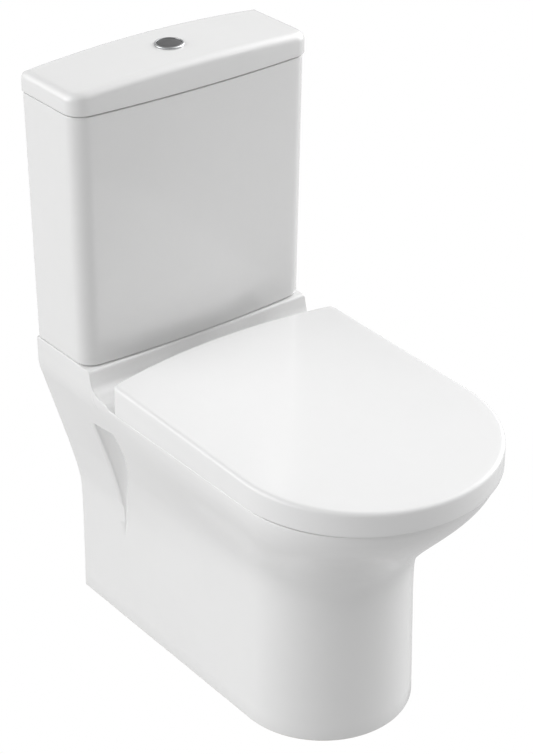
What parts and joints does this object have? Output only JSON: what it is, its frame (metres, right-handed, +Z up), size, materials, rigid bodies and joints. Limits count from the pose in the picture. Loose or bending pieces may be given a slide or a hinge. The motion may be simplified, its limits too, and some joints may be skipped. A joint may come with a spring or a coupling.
{
  "type": "close coupled toilet",
  "caption": "Back-to-wall close coupled toilet with a closed skirted pan, a cistern with a lift-off lid and push button, and a soft-close wrap-over seat.",
  "frame": {"origin": "on the floor, at the bottom centre of the object's bounding box", "axes": "+Z up, -Y is the front of the bowl, +Y the wall, +X to the right seen from the front"},
  "size_m": [0.3706, 0.6356, 0.8226],
  "materials": {
    "ceramic": "gloss",
    "seat_plastic": "gloss",
    "chrome": "polished",
    "button_chrome": "satin",
    "rubber": "matte",
    "grey_rubber": "matte",
    "white_plastic": "satin",
    "blue_plastic": "satin",
    "steel": "satin",
    "brass": "satin"
  },
  "bodies": {
    "root": {"pan": "ceramic", "cistern_tank": "ceramic", "flush_valve_base": "white_plastic", "flush_valve_washer": "rubber", "flush_valve_nut": "white_plastic", "doughnut_washer": "rubber", "flush_actuator": "white_plastic", "fill_valve_body": "white_plastic", "fill_valve_washer": "rubber", "fill_valve_nut": "white_plastic", "fill_valve_head": "white_plastic", "coupling_bolt_right": "brass", "coupling_bolt_left": "brass", "coupling_seal_right": "rubber", "coupling_seal_left": "rubber", "coupling_washer_right": "steel", "coupling_washer_left": "steel", "coupling_wing_nut_right": "brass", "coupling_wing_nut_left": "brass", "hinge_mount_right": "chrome", "hinge_mount_left": "chrome", "hinge_pin_right": "steel", "hinge_pin_left": "steel", "seat_bolt_right": "steel", "seat_bolt_left": "steel", "seat_bolt_sleeve_right": "grey_rubber", "seat_bolt_sleeve_left": "grey_rubber"},
    "seat": {"seat_ring": "seat_plastic", "seat_buffer_rear_right": "grey_rubber", "seat_buffer_rear_left": "grey_rubber", "seat_buffer_front_right": "grey_rubber", "seat_buffer_front_left": "grey_rubber"},
    "seat_lid": {"seat_lid": "seat_plastic", "lid_buffer_right": "grey_rubber", "lid_buffer_left": "grey_rubber", "soft_close_damper_right": "blue_plastic", "soft_close_damper_left": "blue_plastic"},
    "cistern_lid": {"cistern_lid": "ceramic", "button_housing": "chrome", "button_nut": "white_plastic"},
    "flush_button": {"flush_button": "button_chrome", "push_rod": "white_plastic", "button_spring": "steel"},
    "plunger": {"actuator_plunger": "blue_plastic"},
    "valve_core": {"flush_valve_core": "blue_plastic", "flush_valve_seal": "rubber"},
    "float": {"float_cup": "white_plastic", "float_rod": "brass"},
    "float_lever": {"float_lever": "blue_plastic"}
  },
  "joints": [
    {"name": "seat_hinge", "type": "hinge", "parent": "root", "child": "seat", "pos_m": [0, 0.13925, 0.419], "axis": [-1, 0, 0], "range_deg": [0, 94]},
    {"name": "seat_lid_hinge", "type": "hinge", "parent": "seat", "child": "seat_lid", "pos_m": [0, 0.13925, 0.419], "axis": [1, 0, 0], "range_deg": [-94, 0]},
    {"name": "cistern_lid_lift", "type": "slide", "parent": "root", "child": "cistern_lid", "axis": [0, 0, 1], "range_m": [0, 0.08]},
    {"name": "button_press", "type": "slide", "parent": "cistern_lid", "child": "flush_button", "axis": [0, 0, -1], "range_m": [0, 0.007], "stiffness_N_per_m": 600, "springref_m": -0.004, "deforming": ["button_spring"]},
    {"name": "plunger_press", "type": "slide", "parent": "root", "child": "plunger", "axis": [0, 0, -1], "range_m": [0, 0.007]},
    {"name": "core_lift", "type": "slide", "parent": "root", "child": "valve_core", "axis": [0, 0, 1], "range_m": [0, 0.028]},
    {"name": "float_rise", "type": "slide", "parent": "root", "child": "float", "axis": [0, 0, 1], "range_m": [0, 0.012]},
    {"name": "float_lever_turn", "type": "hinge", "parent": "root", "child": "float_lever", "pos_m": [-0.128, 0.25175, 0.722], "axis": [0, -1, 0], "range_deg": [0, 24]}
  ],
  "couplings": [
    {"joint": "plunger_press", "follows": "button_press", "ratio": 1},
    {"joint": "core_lift", "follows": "button_press", "ratio": 4},
    {"joint": "float_lever_turn", "follows": "float_rise", "rad_per_m": 33.3}
  ]
}
